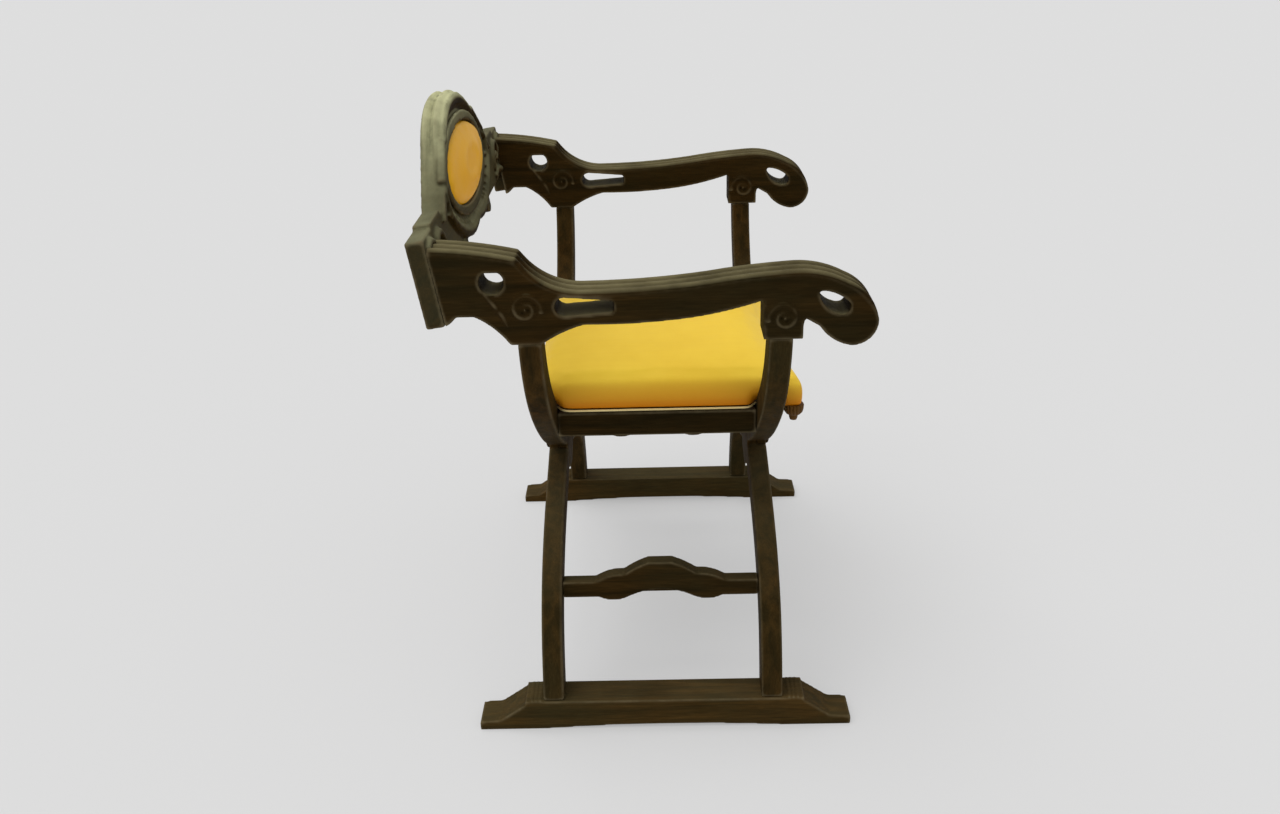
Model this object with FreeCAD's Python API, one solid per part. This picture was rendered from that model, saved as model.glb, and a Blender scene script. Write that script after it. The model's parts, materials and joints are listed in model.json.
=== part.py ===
import FreeCAD
import Part
import math
import os

os.makedirs("parts", exist_ok=True)

# Millimetres. X runs across the chair, -Y is its front, +Z is up. "Forward" is measured from the
# middle of the runners and "up" from the floor. Right and left are the sitter's: right is -X.
# Each side frame is one arm, its two legs, which cross to the other side, and the runner there.

overrun = 2.0

# Runners on the floor
runner_length = 500.0
runner_height = 44.0
runner_thickness = 46.0
runners_width = 682.0
runner_tip_height = 12.0
runner_slope_rise = 2.5
runner_relief = 5.0
runner_pad_length = 95.0

# Legs, crossing at the hubs
hub_height = 285.0
hub_slope = 23.0
hub_radius = 56.0
hub_gap = 0.3
lap_gap = 0.2
leg_width = 40.0
leg_thickness = 28.0
front_leg_forward = 144.0
rear_leg_forward = -148.5
foot_slope = 80.0
leg_tenon_thickness = 14.0
leg_tenon_width = 24.0
leg_tenon_length = 26.0

# Pivot rod through both hubs, and the turned rosettes on its ends
rod_radius = 8.0
rod_running_gap = 0.05
rosette_radius = 26.0
rosette_thickness = 9.0
rosette_button_radius = 12.0
rosette_button_height = 5.0
rosette_socket_depth = 6.0
rosette_gap = 0.2

# Arms
arms_width = 680.0
arm_thickness = 50.0
arm_length = 512.0
arm_nose_forward = 255.0
arm_top_height = 669.0
arm_depth = 122.5
bracket_bottom_share = 0.078

# Seat rails, the sling nailed on them, and the cushion
rail_set_out = 5.7
rail_thickness = 24.0
rail_height = 35.0
rail_top_height = 403.0
rail_tenon_length = 10.0
rail_tenon_margin = 6.0
sling_thickness = 3.0
sling_end_margin = 6.0
tack_count = 7
tack_head_radius = 4.0
tack_head_height = 1.2
tack_shank_radius = 1.0
tack_shank_length = 10.0
soft_gap = 0.3
cushion_side_inset = 4.0
cushion_top_spread = 20.0
cushion_edge_height = 56.0
cushion_crown = 22.0
cushion_rear_forward = -158.0
cushion_front_forward = 191.0
cushion_front_dip = 31.0
cushion_front_spread = 40.0
cushion_front_drop = 14.0
cushion_front_fall = 5.0
cushion_front_crown = 2.0
cushion_end_rounding = 10.0
cushion_leg_gap = 1.0

# Stretchers between the lower legs
stretcher_thickness = 20.0
stretcher_centre_height = 170.6
stretcher_end_height = 24.0
stretcher_hump_height = 29.0
stretcher_arch_height = 11.0
stretcher_drop_height = 5.0
stretcher_tenon_length = 10.0
stretcher_tenon_margin = 5.0

# Back board, its pad and the pegs that it rests on
back_rake = 8.5
board_thickness = 22.0
medallion_thickness = 26.0
medallion_half_width = 222.0
medallion_foot_rise = 3.0
medallion_rise = 118.0
medallion_fall_half_width = 190.0
medallion_fall = 57.0
wing_bottom_drop = 54.0
wing_height = 68.0
carving_outer_width = 572.0
carving_inner_width = 440.0
carving_height = 5.0
lug_width = 17.5
lug_length = 35.0
rabbet_height = 5.0
rabbet_depth = 9.0
knob_radius = 13.0
knob_spread = 226.0
knob_drop = 4.0
knob_proud = 2.0
rim_width = 15.0
rim_height = 5.0
pad_middle_rise = 26.5
pad_half_width = 145.0
pad_half_height = 51.0
pad_crown = 9.0
ring_width = 14.0
ring_height = 5.0
panel_thickness = 5.0
panel_margin = 12.0
screw_count = 6
screw_radius = 2.0
screw_head_radius = 4.0
screw_head_height = 2.0
screw_length = 13.0
peg_radius = 6.0
peg_depth = 40.0
peg_head_radius = 9.0
peg_head_height = 5.0
peg_head_gap = 2.0
peg_inset = 28.0

# Worked-out places
arm_middle = (arms_width - arm_thickness) / 2
runner_middle = (runners_width - runner_thickness) / 2
arm_rear_forward = arm_nose_forward - arm_length
bracket_bottom = arm_top_height - arm_depth * (1 - bracket_bottom_share)
half_thickness = leg_thickness / 2
rail_front = front_leg_forward - half_thickness
rail_rear = rear_leg_forward + half_thickness
sling_top = rail_top_height + sling_thickness
cushion_bottom = sling_top + tack_head_height + soft_gap
rake_slope = math.tan(math.radians(back_rake))
rake_sine = math.sin(math.radians(back_rake))
board_width = arms_width
wing_bottom_height = arm_top_height - wing_bottom_drop
wing_top_height = wing_bottom_height + wing_height
lug_bottom_height = wing_bottom_height - lug_length
knob_height = wing_bottom_height - knob_drop
medallion_foot_height = arm_top_height + medallion_foot_rise
pad_middle_height = medallion_foot_height + pad_middle_rise
peg_height = wing_bottom_height - peg_radius - (board_thickness - rabbet_depth) * rake_sine


def point(across, forward, up):
    return FreeCAD.Vector(across, -forward, up)


def box(across, forward, up):
    """A block between low and high values, each given as a pair."""
    corner = point(across[0], forward[1], up[0])
    return Part.makeBox(across[1] - across[0], forward[1] - forward[0], up[1] - up[0], corner)


def round_bar(radius, start, end):
    along = end - start
    return Part.makeCylinder(radius, along.Length, start, along)


def mirrored(shape):
    return shape.mirror(FreeCAD.Vector(), FreeCAD.Vector(1, 0, 0))


def outline_face(start, steps):
    """A face inside lines and arcs. A step is (end) for a line and (through, end) for an arc."""
    edges = []
    here = start
    for step in steps:
        end = step[-1]
        if len(step) == 1:
            edges.append(Part.LineSegment(here, end).toShape())
        else:
            edges.append(Part.Arc(here, step[0], end).toShape())
        here = end
    return Part.Face(Part.Wire(edges))


# Legs. The middle line of a leg runs in a plane across the chair, from the foot up through the
# hub to the arm, as two cubic curves that share the hub's slope.
foot_pull_share = 0.45
hub_low_pull_share = 0.40
hub_high_pull_share = 0.40
top_pull_share = 0.20
station_shares = (0.25, 0.5, 0.75)
height_search_steps = 40


def slope_vector(degrees):
    return FreeCAD.Vector(math.cos(math.radians(degrees)), 0, math.sin(math.radians(degrees)))


def cubic(ends, pulls, share):
    """A point and the direction of travel at a share of a cubic curve between two points."""
    a, d = ends
    b, c = pulls
    rest = 1 - share
    place = a * rest**3 + b * (3 * rest**2 * share) + c * (3 * rest * share**2) + d * share**3
    travel = (b - a) * rest**2 + (c - b) * (2 * rest * share) + (d - c) * share**2
    return place, travel.normalize()


def leg_line(part, share):
    """The middle line of the leg that leans to +X at its top: part 0 below the hub, 1 above."""
    hub = FreeCAD.Vector(0, 0, hub_height)
    if part == 0:
        foot = FreeCAD.Vector(-runner_middle, 0, runner_height)
        reach = (hub - foot).Length
        foot_pull = foot + slope_vector(foot_slope) * (reach * foot_pull_share)
        hub_pull = hub - slope_vector(hub_slope) * (reach * hub_low_pull_share)
        return cubic((foot, hub), (foot_pull, hub_pull), share)
    top = FreeCAD.Vector(arm_middle, 0, bracket_bottom)
    reach = (top - hub).Length
    hub_pull = hub + slope_vector(hub_slope) * (reach * hub_high_pull_share)
    top_pull = top - FreeCAD.Vector(0, 0, reach * top_pull_share)
    return cubic((hub, top), (hub_pull, top_pull), share)


def leg_across_at(up):
    """How far from the chair's middle the middle line of a leg is at a height."""
    part = 0 if up < hub_height else 1
    low_share, high_share = 0.0, 1.0
    for _ in range(height_search_steps):
        share = (low_share + high_share) / 2
        place = leg_line(part, share)[0]
        if place.z < up:
            low_share = share
        else:
            high_share = share
    return abs(place.x)


# Where the rails and the stretchers meet the legs, and the cushion's widths on those rails
rail_middle = leg_across_at(rail_top_height - rail_height / 2) + rail_set_out
stretcher_middle = leg_across_at(stretcher_centre_height)
cushion_bottom_width = 2 * rail_middle + rail_thickness - 2 * cushion_side_inset
cushion_top_width = cushion_bottom_width + cushion_top_spread
cushion_front_width = cushion_bottom_width + cushion_front_spread


def leg_edge(half_width):
    """One long edge of a leg as a smooth curve a half width beside its middle line."""
    stations = [(0, 0.0)] + [(0, s) for s in station_shares] + [(0, 1.0)]
    stations += [(1, s) for s in station_shares] + [(1, 1.0)]
    points = []
    for part, share in stations:
        place, travel = leg_line(part, share)
        points.append(place + FreeCAD.Vector(-travel.z, 0, travel.x) * half_width)
    foot_travel = leg_line(0, 0.0)[1]
    points.insert(0, points[0] - foot_travel * leg_width)
    curve = Part.BSplineCurve()
    curve.interpolate(points)
    return curve.toShape(), points


def leg_blank(forward, width, thickness):
    """A leg that leans to +X at its top, before its hub, cut level at the runner and the arm."""
    high_edge, high = leg_edge(width / 2)
    low_edge, low = leg_edge(-width / 2)
    top = Part.LineSegment(high[-1], low[-1]).toShape()
    foot = Part.LineSegment(low[0], high[0]).toShape()
    face = Part.Face(Part.Wire([high_edge, top, low_edge, foot]))
    face.translate(point(0, forward + thickness / 2, 0))
    blank = face.extrude(FreeCAD.Vector(0, thickness, 0))
    side = runners_width
    under = box((-side, 0), (forward - thickness, forward + thickness), (-side, runner_height))
    return blank.cut(under)


def tenon(across, forward, low, high):
    half_width = leg_tenon_width / 2
    half = leg_tenon_thickness / 2
    return box((across - half_width, across + half_width), (forward - half, forward + half), (low, high))


def foot_tenon(forward):
    return tenon(-runner_middle, forward, runner_height - leg_tenon_length, runner_height)


def arm_tenon(forward):
    return tenon(arm_middle, forward, bracket_bottom, bracket_bottom + leg_tenon_length)


def hub_disc(forward, radius, own_half):
    """The half-thick round lap of one leg: its front half for 1, its rear half for -1."""
    near = forward + own_half * lap_gap / 2
    far = forward + own_half * half_thickness
    return round_bar(radius, point(0, near, hub_height), point(0, far, hub_height))


def leg(forward, own_half):
    """The leg of the left arm, which stands on the right runner."""
    shape = leg_blank(forward, leg_width, leg_thickness)
    reach = hub_radius + hub_gap
    inner = forward + own_half * lap_gap / 2
    outer = forward - own_half * (half_thickness + overrun)
    shape = shape.cut(round_bar(reach, point(0, inner, hub_height), point(0, outer, hub_height)))
    shape = shape.fuse(hub_disc(forward, hub_radius, own_half))
    bore_start = point(0, forward - leg_thickness, hub_height)
    bore_end = point(0, forward + leg_thickness, hub_height)
    shape = shape.cut(round_bar(rod_radius + rod_running_gap, bore_start, bore_end))
    shape = shape.fuse([foot_tenon(forward), arm_tenon(forward)]).removeSplitter()
    return shape.cut(rail_solid(False)).cut(mirrored(stretcher_stub()))


def pivot_rod():
    front = front_leg_forward + half_thickness + rosette_gap + rosette_socket_depth
    rear = rear_leg_forward - half_thickness - rosette_gap - rosette_socket_depth
    return round_bar(rod_radius, point(0, rear, hub_height), point(0, front, hub_height))


def rosette(leg_forward, way):
    """A turned disc with a raised button, socketed on the end of the pivot rod."""
    seat = leg_forward + way * (half_thickness + rosette_gap)
    face = seat + way * rosette_thickness
    tip = face + way * rosette_button_height
    disc = round_bar(rosette_radius, point(0, seat, hub_height), point(0, face, hub_height))
    button = round_bar(rosette_button_radius, point(0, face, hub_height), point(0, tip, hub_height))
    socket_end = seat + way * rosette_socket_depth
    socket = round_bar(rod_radius, point(0, seat, hub_height), point(0, socket_end, hub_height))
    return disc.fuse(button).cut(socket)


# Runners. The places along a runner are shares of its length from its end.
runner_tip_share = 0.055
runner_slope_share = 0.126
runner_shoulder_share = 0.9


def runner():
    """The right runner, with its sloped ends and the hollow under its middle."""
    half = runner_length / 2
    top = runner_height
    shoulder = runner_height * runner_shoulder_share
    slope_end = half - runner_length * runner_slope_share
    tip_end = half - runner_length * runner_tip_share
    tip_top = runner_tip_height + runner_slope_rise
    across = -runners_width / 2
    hollow_end = half - runner_pad_length

    def at(forward, up):
        return point(across, forward, up)

    face = outline_face(at(-half, 0), [
        (at(-half, runner_tip_height),), (at(-tip_end, tip_top),), (at(-slope_end, shoulder),),
        (at(-slope_end, top),), (at(slope_end, top),), (at(slope_end, shoulder),),
        (at(tip_end, tip_top),), (at(half, runner_tip_height),), (at(half, 0),),
        (at(hollow_end, 0),), (at(0, runner_relief), at(-hollow_end, 0)), (at(-half, 0),)])
    shape = face.extrude(FreeCAD.Vector(runner_thickness, 0, 0))
    for forward in (front_leg_forward, rear_leg_forward):
        shape = shape.cut(foot_tenon(forward))
    return shape


# Arms. Each place is a share of the arm's length from its rear end, and of its depth from its
# lowest point. The two brackets follow the legs that they stand on.
arm_rear_top_shares = (0.0, 1.03)
arm_top_shares = [((0.105, 0.988), (0.193, 0.918)), ((0.204, 0.861),),
                  ((0.255, 0.678), (0.344, 0.592)), ((0.504, 0.616), (0.621, 0.665)),
                  ((0.718, 0.718), (0.805, 0.747)), ((0.874, 0.722), (0.928, 0.633)),
                  ((0.977, 0.478), (1.000, 0.257)), ((0.988, 0.094), (0.940, 0.000)),
                  ((0.901, 0.061), (0.868, 0.200)), ((0.851, 0.241),), ((0.835, 0.282),)]
arm_middle_shares = [((0.621, 0.339), (0.533, 0.290)), ((0.436, 0.265), (0.339, 0.265))]
front_cove_shares = (0.286, 0.184)
rear_cove_shares = (0.132, 0.255)
arm_heel_shares = [((0.051, 0.363),), ((0.041, 0.314), (0.025, 0.273)),
                   ((-0.040, 0.273),), ((-0.040, 1.03),)]
heel_front_shares = (0.093, 0.363)
front_bracket_shares = (0.048, -0.041)
front_bracket_top_share = 0.469
front_bracket_waist_share = 0.208
rear_bracket_shares = (0.030, -0.042)
drop_hole_shares = [(0.119, 0.788), ((0.154, 0.788),), ((0.137, 0.580), (0.119, 0.788))]
slot_shares = [(0.296, 0.535), ((0.407, 0.494),), ((0.407, 0.388),), ((0.296, 0.355),),
               ((0.274, 0.445), (0.296, 0.535))]
curl_hole_shares = [(0.864, 0.547), ((0.905, 0.510), (0.934, 0.420)),
                    ((0.932, 0.347), (0.910, 0.322)), ((0.881, 0.388), (0.864, 0.547))]


def arm_point(shares):
    forward = arm_rear_forward + arm_length * shares[0]
    up = arm_top_height - arm_depth * (1 - shares[1])
    return point(arms_width / 2, forward, up)


def arm_steps(shares):
    return [tuple(arm_point(place) for place in step) for step in shares]


def bracket_point(leg_forward, forward_share, up_share):
    forward = leg_forward + arm_length * forward_share
    return point(arms_width / 2, forward, arm_top_height - arm_depth * (1 - up_share))


def arm_hole(shares):
    face = outline_face(arm_point(shares[0]), arm_steps(shares[1:]))
    face.translate(FreeCAD.Vector(overrun, 0, 0))
    return face.extrude(FreeCAD.Vector(-arm_thickness - 2 * overrun, 0, 0))


def arm_face():
    front_nose, front_back = front_bracket_shares
    rear_nose, rear_back = rear_bracket_shares
    bottom = bracket_bottom_share
    front_front = bracket_point(front_leg_forward, front_nose, bottom)
    front_waist = bracket_point(front_leg_forward, front_nose, front_bracket_waist_share)
    front_rear = bracket_point(front_leg_forward, front_back, bottom)
    front_root = bracket_point(front_leg_forward, front_back, front_bracket_top_share)
    rear_front = bracket_point(rear_leg_forward, rear_nose, bottom)
    rear_rear = bracket_point(rear_leg_forward, rear_back, bottom)
    steps = arm_steps(arm_top_shares)
    steps += [(front_waist,), (front_front,), (front_rear,), (front_root,)]
    steps += arm_steps(arm_middle_shares)
    steps += [(arm_point(front_cove_shares), rear_front), (rear_rear,)]
    steps += [(arm_point(rear_cove_shares), arm_point(heel_front_shares))]
    steps += arm_steps(arm_heel_shares)
    steps += [(arm_point(arm_rear_top_shares),)]
    return outline_face(arm_point(arm_rear_top_shares), steps)


def behind_board(gap):
    """A block behind the plane of the board's front face, moved back by a gap."""
    reach = arm_length
    block = box((-reach, reach), (-reach, 0), (-reach, reach))
    block.rotate(FreeCAD.Vector(), FreeCAD.Vector(1, 0, 0), -back_rake)
    block.translate(point(0, arm_rear_forward - gap, arm_top_height))
    return block


def arm():
    """The left arm, pierced and cut to meet the back board."""
    shape = arm_face().extrude(FreeCAD.Vector(-arm_thickness, 0, 0))
    for shares in (drop_hole_shares, slot_shares, curl_hole_shares):
        shape = shape.cut(arm_hole(shares))
    shape = shape.cut(behind_board(0))
    for forward in (front_leg_forward, rear_leg_forward):
        shape = shape.cut(arm_tenon(forward))
    return shape.cut(back_peg())


def back_peg():
    """The left peg: a dowel in the arm's rear end with a head in the board's rear rabbet."""
    across = board_width / 2 - peg_inset
    rabbet_face = arm_rear_forward + rake_slope * (arm_top_height - peg_height - peg_head_radius)
    rabbet_face -= (board_thickness - rabbet_depth) / math.cos(math.radians(back_rake))
    head_start = rabbet_face - peg_head_gap
    inner = point(across, arm_rear_forward + peg_depth, peg_height)
    seat = point(across, head_start, peg_height)
    head_end = point(across, head_start - peg_head_height, peg_height)
    return round_bar(peg_radius, inner, seat).fuse(round_bar(peg_head_radius, seat, head_end))


def rail_solid(with_holes):
    """The left seat rail with stub tenons into its two legs."""
    inner = rail_middle - rail_thickness / 2
    outer = rail_middle + rail_thickness / 2
    low = rail_top_height - rail_height
    shape = box((inner, outer), (rail_rear, rail_front), (low, rail_top_height))
    margin = rail_tenon_margin
    ends = (rail_rear - rail_tenon_length, rail_front + rail_tenon_length)
    stub = box((inner + margin, outer - margin), ends, (low + margin, rail_top_height - margin))
    shape = shape.fuse(stub).removeSplitter()
    if with_holes:
        shape = shape.cut(tacks())
    return shape


def tacks():
    """The row of tacks that holds the sling on the left rail."""
    start = rail_rear + sling_end_margin + tack_head_radius
    end = rail_front - sling_end_margin - tack_head_radius
    group = []
    for i in range(tack_count):
        forward = start + (end - start) * i / (tack_count - 1)
        under = point(rail_middle, forward, sling_top)
        tip = point(rail_middle, forward, sling_top - tack_shank_length)
        over = point(rail_middle, forward, sling_top + tack_head_height)
        shank = round_bar(tack_shank_radius, tip, under)
        group.append(shank.fuse(round_bar(tack_head_radius, under, over)))
    return Part.makeCompound(group)


def seat_sling():
    half = rail_middle + rail_thickness / 2
    ends = (rail_rear + sling_end_margin / 2, rail_front - sling_end_margin / 2)
    sheet = box((-half, half), ends, (rail_top_height, sling_top))
    return sheet.cut([tacks(), mirrored(tacks())])


# Cushion. Its front hangs a little over the legs' fronts, between two corners that stand forward.
cushion_turn_share = 0.12
cushion_shoulder_share = 0.8


def cushion_section(forward, front, rounding):
    """One closed cross-section of lines and arcs, either of the seat or of its wider front."""
    bottom_width = cushion_front_width if front else cushion_bottom_width
    top_width = cushion_front_width if front else cushion_top_width
    drop = cushion_front_drop if front else 0
    fall = cushion_front_fall if front else 0
    bottom_half = bottom_width / 2 - rounding
    top_half = top_width / 2 - rounding
    low = cushion_bottom - drop + rounding
    high = cushion_bottom + cushion_edge_height - fall - rounding
    crown = high + (cushion_front_crown if front else cushion_crown)
    shoulder = low + (high - low) * cushion_shoulder_share
    turn_in = cushion_edge_height * cushion_turn_share

    def half(side):
        foot = point(side * bottom_half, forward, low)
        middle = point(side * (bottom_half + top_half + turn_in) / 2, forward, (low + shoulder) / 2)
        edge = point(side * top_half, forward, shoulder)
        turn = point(side * (top_half - turn_in / 4), forward, (shoulder + high) / 2)
        return foot, middle, edge, turn, point(side * (top_half - turn_in), forward, high)

    foot, middle, edge, turn, top = half(1)
    far_foot, far_middle, far_edge, far_turn, far_top = half(-1)
    arcs = [Part.LineSegment(far_foot, foot), Part.Arc(foot, middle, edge), Part.Arc(edge, turn, top),
            Part.Arc(top, point(0, forward, crown), far_top), Part.Arc(far_top, far_turn, far_edge),
            Part.Arc(far_edge, far_middle, far_foot)]
    return Part.Wire([arc.toShape() for arc in arcs])


def seat_cushion():
    rounding = cushion_end_rounding
    leg_front = front_leg_forward + half_thickness + cushion_leg_gap
    stations = [(cushion_rear_forward, False, rounding), (cushion_rear_forward + rounding, False, 0),
                (rail_front, False, 0), (leg_front, True, 0),
                (cushion_front_forward - rounding, True, 0), (cushion_front_forward, True, rounding)]
    shape = Part.makeLoft([cushion_section(*station) for station in stations], True, True)
    half_front = cushion_front_width / 2
    dip_radius = (half_front**2 + cushion_front_dip**2) / (2 * cushion_front_dip)
    dip_middle = cushion_front_forward - cushion_front_dip + dip_radius
    shape = shape.cut(round_bar(dip_radius, point(0, dip_middle, 0), point(0, dip_middle, arm_top_height)))
    for forward in (front_leg_forward, rear_leg_forward):
        room = leg_blank(forward, leg_width + 2 * cushion_leg_gap, leg_thickness + 2 * cushion_leg_gap)
        shape = shape.cut([room, mirrored(room)])
    return shape


# Stretchers. Places along a stretcher are shares of its half length from its middle, and
# the heights of its top are shares of the hump.
stretcher_rise_shares = ((0.54, 0.28), (0.37, 0.38))
stretcher_crest_shares = ((0.22, 0.80), (0.12, 1.00))
stretcher_top_end_share = 0.66
stretcher_bottom_shares = (0.63, 0.46, 0.33)


def stretcher_levels():
    """The heights of the lower and upper edges at the ends of a stretcher."""
    half = stretcher_end_height / 2
    return stretcher_centre_height - half, stretcher_centre_height + half


def stretcher_stub():
    """The left stretcher's stub tenons, drawn as one bar through it."""
    low, high = stretcher_levels()
    inner = stretcher_middle - stretcher_thickness / 2
    outer = stretcher_middle + stretcher_thickness / 2
    margin = stretcher_tenon_margin
    ends = (rail_rear - stretcher_tenon_length, rail_front + stretcher_tenon_length)
    return box((inner + margin, outer - margin), ends, (low + margin, high - margin))


def stretcher():
    """The left stretcher: a humped board with an arch below, stub-tenoned into the legs."""
    middle = (rail_front + rail_rear) / 2
    half = (rail_front - rail_rear) / 2
    low, high = stretcher_levels()

    def at(share, up):
        return point(stretcher_middle - stretcher_thickness / 2, middle + half * share, up)

    def on_top(side, shares):
        return at(side * shares[0], high + stretcher_hump_height * shares[1])

    end_share = stretcher_top_end_share
    toe, instep = stretcher_rise_shares
    chest, neck = stretcher_crest_shares
    edge, drop, arch = stretcher_bottom_shares
    dropped = low - stretcher_drop_height
    arched = low + stretcher_arch_height
    steps = [(at(-1, high),), (at(-end_share, high),), (on_top(-1, toe), on_top(-1, instep)),
             (on_top(-1, chest), on_top(-1, neck)), (on_top(1, neck),),
             (on_top(1, chest), on_top(1, instep)), (on_top(1, toe), at(end_share, high)),
             (at(1, high),), (at(1, low),), (at(edge, low),), (at(drop, dropped), at(arch, low)),
             (at(0, arched), at(-arch, low)), (at(-drop, dropped), at(-edge, low)), (at(-1, low),)]
    board = outline_face(at(-1, low), steps).extrude(FreeCAD.Vector(stretcher_thickness, 0, 0))
    return board.fuse(stretcher_stub()).removeSplitter()


# Back board. It is drawn upright in the plane of its front face, then leaned back.
def leaned(shape):
    """Lean a piece drawn with its front face at forward 0 back into its place."""
    moved = shape.copy()
    moved.rotate(FreeCAD.Vector(0, 0, arm_top_height), FreeCAD.Vector(1, 0, 0), -back_rake)
    moved.translate(point(0, arm_rear_forward, 0))
    return moved


def plane_height(up):
    """The height in the upright drawing that lands at a real height once leaned."""
    return arm_top_height + (up - arm_top_height) / math.cos(math.radians(back_rake))


def oval(half_width, half_height, rear, front):
    """An oval plate centred on the pad between two forward places."""
    centre = point(0, rear, plane_height(pad_middle_height))
    ellipse = Part.Ellipse(centre + FreeCAD.Vector(half_width, 0, 0),
                           centre + FreeCAD.Vector(0, 0, half_height), centre)
    face = Part.Face(Part.Wire([ellipse.toShape()]))
    return face.extrude(point(0, front - rear, 0))


# The medallion's upper edge, from its foot to near its top, as shares of its half width and rise,
# and its lower edge, as shares of its lower half width and fall.
medallion_flank_shares = ((0.72, 0.42), (0.545, 0.670))
medallion_shoulder_shares = ((0.355, 0.876), (0.14, 0.985))
medallion_crest_shares = (0.0, 1.0)
medallion_belly_shares = (0.71, 0.70)


def medallion(inset, rear, front):
    """The medallion's plate, drawn in all round: a bell above its foot and an arch below it."""
    foot = plane_height(medallion_foot_height)
    half_width = medallion_half_width - inset
    low_half_width = medallion_fall_half_width - inset

    def at(side, shares):
        return point(side * half_width * shares[0], rear, foot + (medallion_rise - inset) * shares[1])

    def below(side, shares):
        fall = (medallion_fall - inset) * shares[1]
        return point(side * low_half_width * shares[0], rear, foot - fall)

    flank, hip = medallion_flank_shares
    shoulder, brow = medallion_shoulder_shares
    crest = medallion_crest_shares
    ends = (1.0, 0.0)
    steps = [(at(1, flank), at(1, hip)), (at(1, shoulder), at(1, brow)), (at(1, crest), at(-1, brow)),
             (at(-1, shoulder), at(-1, hip)), (at(-1, flank), at(-1, ends)), (below(-1, ends),),
             (below(-1, medallion_belly_shares), below(0, ends[::-1])),
             (below(1, medallion_belly_shares), below(1, ends)), (at(1, ends),)]
    face = outline_face(at(1, ends), steps)
    return face.extrude(point(0, front - rear, 0))


def plate(across, up, rear, front):
    return box(across, (rear, front), (plane_height(up[0]), plane_height(up[1])))


def drawn_board():
    back = -board_thickness
    rear = -medallion_thickness
    half = board_width / 2
    pieces = [plate((-half, half), (wing_bottom_height, wing_top_height), back, 0)]
    carving_top = wing_top_height + carving_height
    lug_top = wing_bottom_height + overrun
    knob_up = plane_height(knob_height)
    for side in (-1, 1):
        carving = sorted((side * carving_outer_width / 2, side * carving_inner_width / 2))
        lug = sorted((side * half, side * (half - lug_width)))
        across = side * knob_spread / 2
        pieces.append(plate(carving, (wing_top_height - overrun, carving_top), back, 0))
        pieces.append(plate(lug, (lug_bottom_height, lug_top), back, 0))
        knob_ends = point(across, back, knob_up), point(across, knob_proud, knob_up)
        pieces.append(round_bar(knob_radius, *knob_ends))
    rim = medallion(0, -overrun, rim_height).cut(medallion(rim_width, -2 * overrun, rim_height + overrun))
    rim = rim.cut(oval(pad_half_width + ring_width, pad_half_height + ring_width, 0, rim_height + overrun))
    shape = medallion(0, rear, 0).fuse(pieces + [rim]).removeSplitter()
    shape = shape.cut(oval(pad_half_width, pad_half_height, rear - overrun, overrun))
    shape = shape.cut(drawn_panel()).cut(drawn_screws())
    rabbet_top = wing_bottom_height + rabbet_height
    for side in (-1, 1):
        across = sorted((side * medallion_fall_half_width, side * (half - lug_width)))
        low = lug_bottom_height
        shape = shape.cut(plate(across, (low, rabbet_top), back - overrun, back + rabbet_depth))
    return shape


def drawn_ring():
    ring = oval(pad_half_width + ring_width, pad_half_height + ring_width, 0, ring_height)
    return ring.cut(oval(pad_half_width, pad_half_height, -overrun, ring_height + overrun))


def drawn_panel():
    back = -medallion_thickness
    plain = oval(pad_half_width + panel_margin, pad_half_height + panel_margin, back, back + panel_thickness)
    return plain.cut(drawn_screws())


def drawn_screws():
    """Countersunk screws round the panel's margin."""
    back = -medallion_thickness
    across_reach = pad_half_width + panel_margin / 2
    up_reach = pad_half_height + panel_margin / 2
    middle = plane_height(pad_middle_height)
    group = []
    for i in range(screw_count):
        turn = 2 * math.pi * (i + 0.5) / screw_count
        across = across_reach * math.cos(turn)
        up = middle + up_reach * math.sin(turn)
        start = point(across, back, up)
        neck = point(across, back + screw_head_height, up)
        shank = round_bar(screw_radius, start, point(across, back + screw_length, up))
        head = round_bar(screw_head_radius, start, neck)
        group.append(shank.fuse(head).removeSplitter())
    return Part.makeCompound(group)


# Oval pad. Its crown is drawn in by a rounded rule, over shares of its height.
pad_section_shares = (0.0, 0.3, 0.6, 0.85, 0.97)
pad_roundness = 2.2


def drawn_pad():
    """The oval pad: a straight plug in the board's hole and a crown in front of it."""
    half_width = pad_half_width - soft_gap
    half_height = pad_half_height - soft_gap
    rear = panel_thickness - medallion_thickness + soft_gap
    centre = plane_height(pad_middle_height)
    sections = []
    for share in pad_section_shares:
        drawn_in = (1 - share**pad_roundness)**(1 / pad_roundness)
        middle = point(0, pad_crown * share, centre)
        ellipse = Part.Ellipse(middle + FreeCAD.Vector(half_width * drawn_in, 0, 0),
                               middle + FreeCAD.Vector(0, 0, half_height * drawn_in), middle)
        sections.append(Part.Wire([ellipse.toShape()]))
    crown = Part.makeLoft(sections, True, False)
    return oval(half_width, half_height, rear, 0).fuse(crown)


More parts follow.
